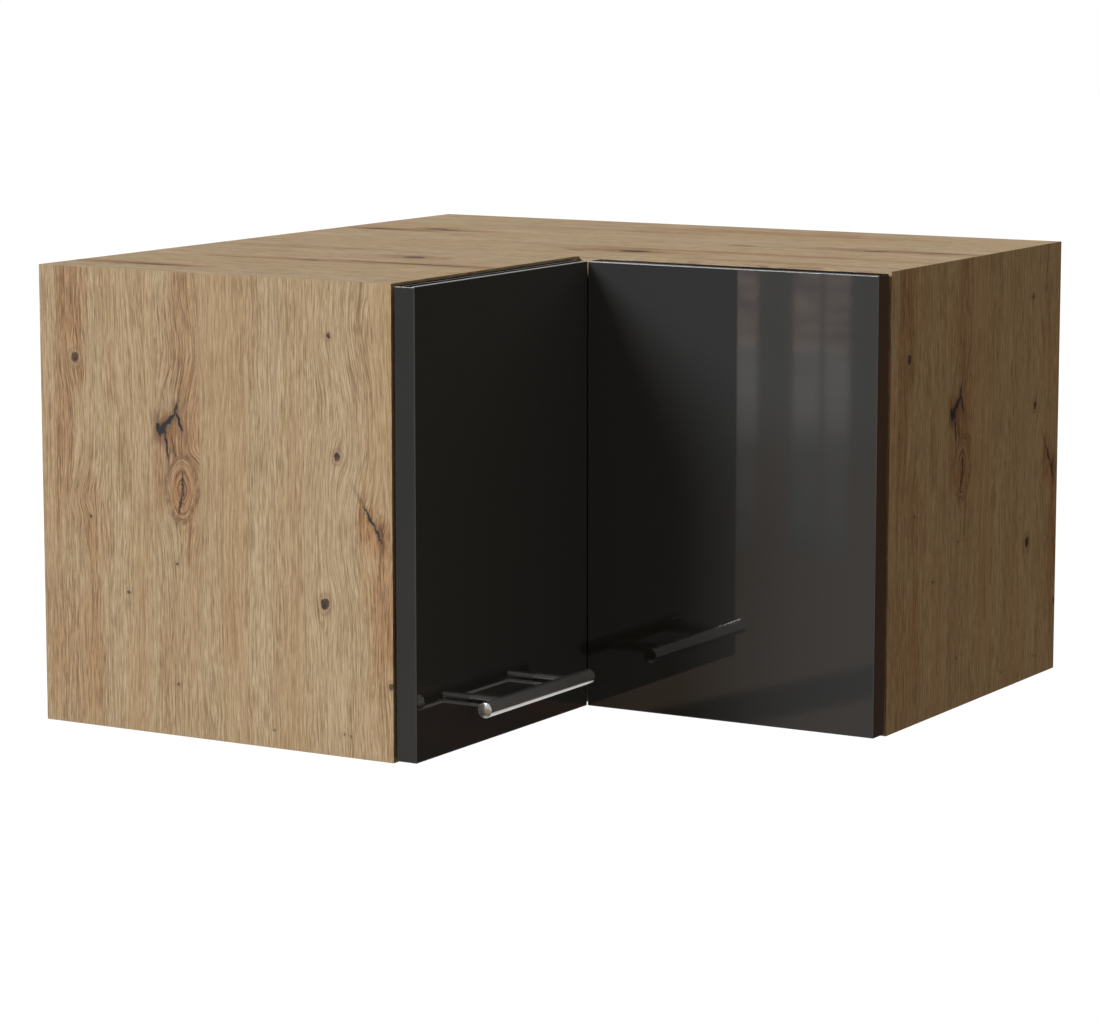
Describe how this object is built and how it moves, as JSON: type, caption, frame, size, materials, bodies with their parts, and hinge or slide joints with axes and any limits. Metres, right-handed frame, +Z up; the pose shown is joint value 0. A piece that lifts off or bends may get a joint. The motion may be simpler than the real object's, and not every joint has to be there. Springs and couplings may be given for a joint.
{
  "type": "corner wall cabinet",
  "caption": "L-shaped corner wall cabinet in oak decor, closed by a folding pair of glossy dark door leaves with a horizontal steel bar handle.",
  "frame": {"origin": "middle of the 600 by 600 mm footprint, on the underside of the cabinet", "axes": "+X along the wall of the right arm, away from the room corner; +Y towards that wall; +Z up. The room corner is at -X, +Y."},
  "size_m": [0.6, 0.6, 0.36],
  "materials": {
    "left_side_decor": "matt oak decor, grain upright",
    "right_side_decor": "matt oak decor, grain upright",
    "top_decor": "matt oak decor, grain along X",
    "bottom_decor": "matt oak decor, grain along X",
    "back_board": "thin hardboard",
    "white_plastic": "moulded",
    "beech": "turned and fluted",
    "plated_steel": "zinc plated",
    "cast_zinc": "die cast",
    "screw_steel": "bright zinc plated",
    "hinge_steel": "nickel plated",
    "right_leaf_gloss": "high-gloss graphite front",
    "left_leaf_gloss": "high-gloss graphite front",
    "bumper_rubber": "soft, translucent",
    "handle_steel": "satin, polished"
  },
  "bodies": {
    "carcass": {"left_side_panel": "left_side_decor", "right_side_panel": "right_side_decor", "top_panel": "top_decor", "bottom_panel": "bottom_decor", "left_back_panel": "back_board", "right_back_panel": "back_board", "back_corner_strip": "white_plastic", "dowels": "beech", "cam_bolts": "plated_steel", "cam_locks": "cast_zinc", "hanger_housings": "white_plastic", "hanger_hooks": "plated_steel", "hanger_adjusting_screws": "screw_steel", "main_hinge_plates": "hinge_steel", "main_hinge_plate_screws": "screw_steel", "main_hinge_arms": "hinge_steel", "main_hinge_adjusters": "screw_steel", "main_hinge_arm_pins": "screw_steel"},
    "main_levers": {"main_hinge_levers": "hinge_steel"},
    "right_leaf": {"right_door_leaf": "right_leaf_gloss", "right_door_bumpers": "bumper_rubber", "main_hinge_cups": "hinge_steel", "main_hinge_cup_pins": "screw_steel", "main_hinge_cup_screws": "screw_steel", "fold_hinge_plates": "hinge_steel", "fold_hinge_plate_screws": "screw_steel", "fold_hinge_arms": "hinge_steel", "fold_hinge_adjusters": "screw_steel", "fold_hinge_arm_pins": "screw_steel"},
    "fold_levers": {"fold_hinge_levers": "hinge_steel"},
    "left_leaf": {"left_door_leaf": "left_leaf_gloss", "left_door_bumpers": "bumper_rubber", "handle_bar": "handle_steel", "handle_posts": "handle_steel", "handle_screws": "screw_steel", "fold_hinge_cups": "hinge_steel", "fold_hinge_cup_pins": "screw_steel", "fold_hinge_cup_screws": "screw_steel"}
  },
  "joints": [
    {"name": "main_lever_pivot", "type": "hinge", "parent": "carcass", "child": "main_levers", "pos_m": [0.266, -0.031, 0.18], "axis": [0, 0, 1], "range_deg": [-35, 0]},
    {"name": "right_leaf_pivot", "type": "hinge", "parent": "main_levers", "child": "right_leaf", "pos_m": [0.2875, -0.0315, 0.18], "axis": [0, 0, 1], "range_deg": [0, 140]},
    {"name": "fold_lever_pivot", "type": "hinge", "parent": "right_leaf", "child": "fold_levers", "pos_m": [0.031, -0.079, 0.18], "axis": [0, 0, 1], "range_deg": [-16, 0]},
    {"name": "left_leaf_pivot", "type": "hinge", "parent": "fold_levers", "child": "left_leaf", "pos_m": [0.0315, -0.0575, 0.18], "axis": [0, 0, 1], "range_deg": [0, 64]}
  ],
  "couplings": [
    {"joint": "main_lever_pivot", "follows": "right_leaf_pivot", "ratio": -0.25},
    {"joint": "fold_lever_pivot", "follows": "left_leaf_pivot", "ratio": -0.25}
  ]
}
